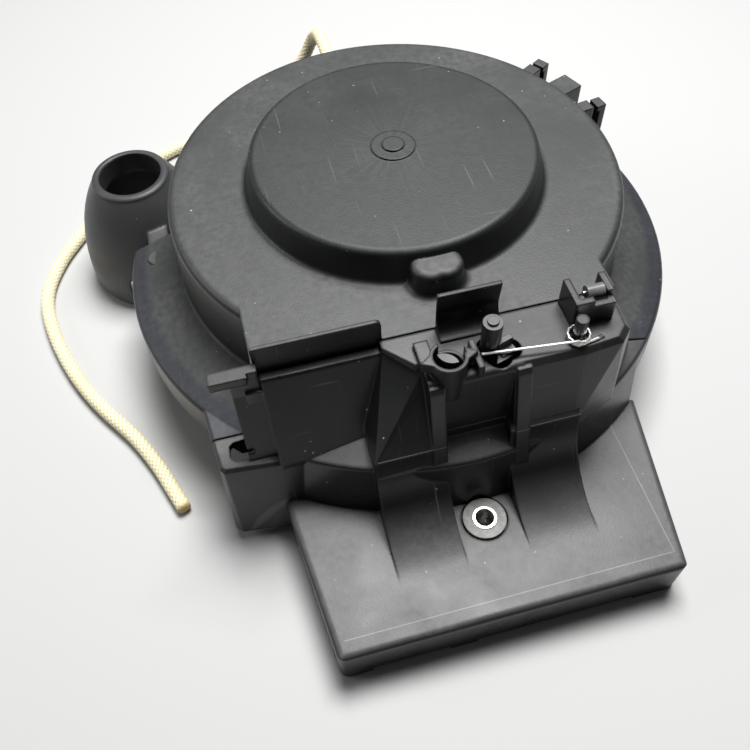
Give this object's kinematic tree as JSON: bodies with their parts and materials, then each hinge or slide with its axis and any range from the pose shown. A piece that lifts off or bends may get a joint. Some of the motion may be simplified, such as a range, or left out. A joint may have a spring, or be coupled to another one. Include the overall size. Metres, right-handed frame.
{
  "type": "recoil starter",
  "caption": "Recoil starter in a black moulded drum case with a front bracket and mounting bush, a spring-loaded reel with pawls, a sprung lockout lever and a free braided rope.",
  "frame": {"origin": "on the drum's axis, in the plane of the feet, where the engine's crankshaft axis crosses it", "axes": "+Z along the drum's axis away from the engine, -Y towards the front bracket and its mounting bush, +X to the right of the bracket"},
  "size_m": [0.2484, 0.2754, 0.089],
  "materials": {
    "case_plastic": "fine grain, satin on the walls",
    "bracket_plastic": "satin moulded plastic",
    "guide_plastic": "satin moulded plastic",
    "lever_plastic": "satin moulded plastic",
    "roller": "smooth",
    "grommet": "smooth",
    "steel": "zinc plated",
    "spring_wire": "bright wire",
    "spring_strip": "blued strip",
    "sheet_steel": "zinc plated sheet",
    "pawl_steel": "hardened",
    "bronze": "sintered",
    "reel_plastic": "moulded",
    "rope": "braided"
  },
  "bodies": {
    "case": {"starter_case": "case_plastic", "front_bracket": "bracket_plastic", "bracket_screws": "steel", "mount_grommet": "grommet", "mount_collar": "steel", "rear_collars": "steel", "rope_guide": "guide_plastic", "guide_screw": "steel", "rope_eyelet": "steel", "cable_clip": "bracket_plastic", "roller_pin": "steel", "lever_pin": "steel", "return_spring": "spring_wire", "recoil_spring": "spring_strip", "spring_cover": "sheet_steel", "cover_screws": "steel", "centre_washer": "sheet_steel", "centre_screw": "steel", "friction_ring": "spring_strip", "rope_lead": "rope", "rope_tail": "rope"},
    "reel": {"rope_reel": "reel_plastic", "reel_bush": "bronze", "rope_winding": "rope", "rope_knot": "rope", "pawl_pins": "steel"},
    "drive_plate": {"drive_plate": "sheet_steel"},
    "pawl_left": {"pawl_left": "pawl_steel"},
    "pawl_right": {"pawl_right": "pawl_steel"},
    "lever": {"lockout_lever": "lever_plastic"},
    "roller": {"guide_roller": "roller"}
  },
  "joints": [
    {"name": "reel_spin", "type": "hinge", "parent": "case", "child": "reel", "pos_m": [0, 0, 0.06], "axis": [0, 0, 1], "range_deg": [0, 1080], "stiffness_Nm_per_rad": 0.02, "springref_deg": -343.77, "deforming": ["recoil_spring"]},
    {"name": "drive_plate_turn", "type": "hinge", "parent": "reel", "child": "drive_plate", "pos_m": [0, 0, 0.05], "axis": [0, 0, 1], "range_deg": [-20, 0]},
    {"name": "pawl_left_swing", "type": "hinge", "parent": "reel", "child": "pawl_left", "pos_m": [-0.02447, -0.01141, 0.055], "axis": [0, 0, 1], "range_deg": [-30, 0]},
    {"name": "pawl_right_swing", "type": "hinge", "parent": "reel", "child": "pawl_right", "pos_m": [0.02447, 0.01141, 0.055], "axis": [0, 0, 1], "range_deg": [-30, 0]},
    {"name": "lever_swing", "type": "hinge", "parent": "case", "child": "lever", "pos_m": [0.026, -0.0765, 0.0645], "axis": [0, 0, 1], "range_deg": [0, 12], "stiffness_Nm_per_rad": 0.02, "springref_deg": -17.19, "deforming": ["return_spring"]},
    {"name": "roller_turn", "type": "hinge", "parent": "case", "child": "roller", "pos_m": [0.04, -0.0766, 0.0814], "axis": [1, 0, 0], "continuous": true}
  ],
  "couplings": [
    {"joint": "pawl_left_swing", "follows": "drive_plate_turn", "ratio": 1.5},
    {"joint": "pawl_right_swing", "follows": "drive_plate_turn", "ratio": 1.5}
  ]
}
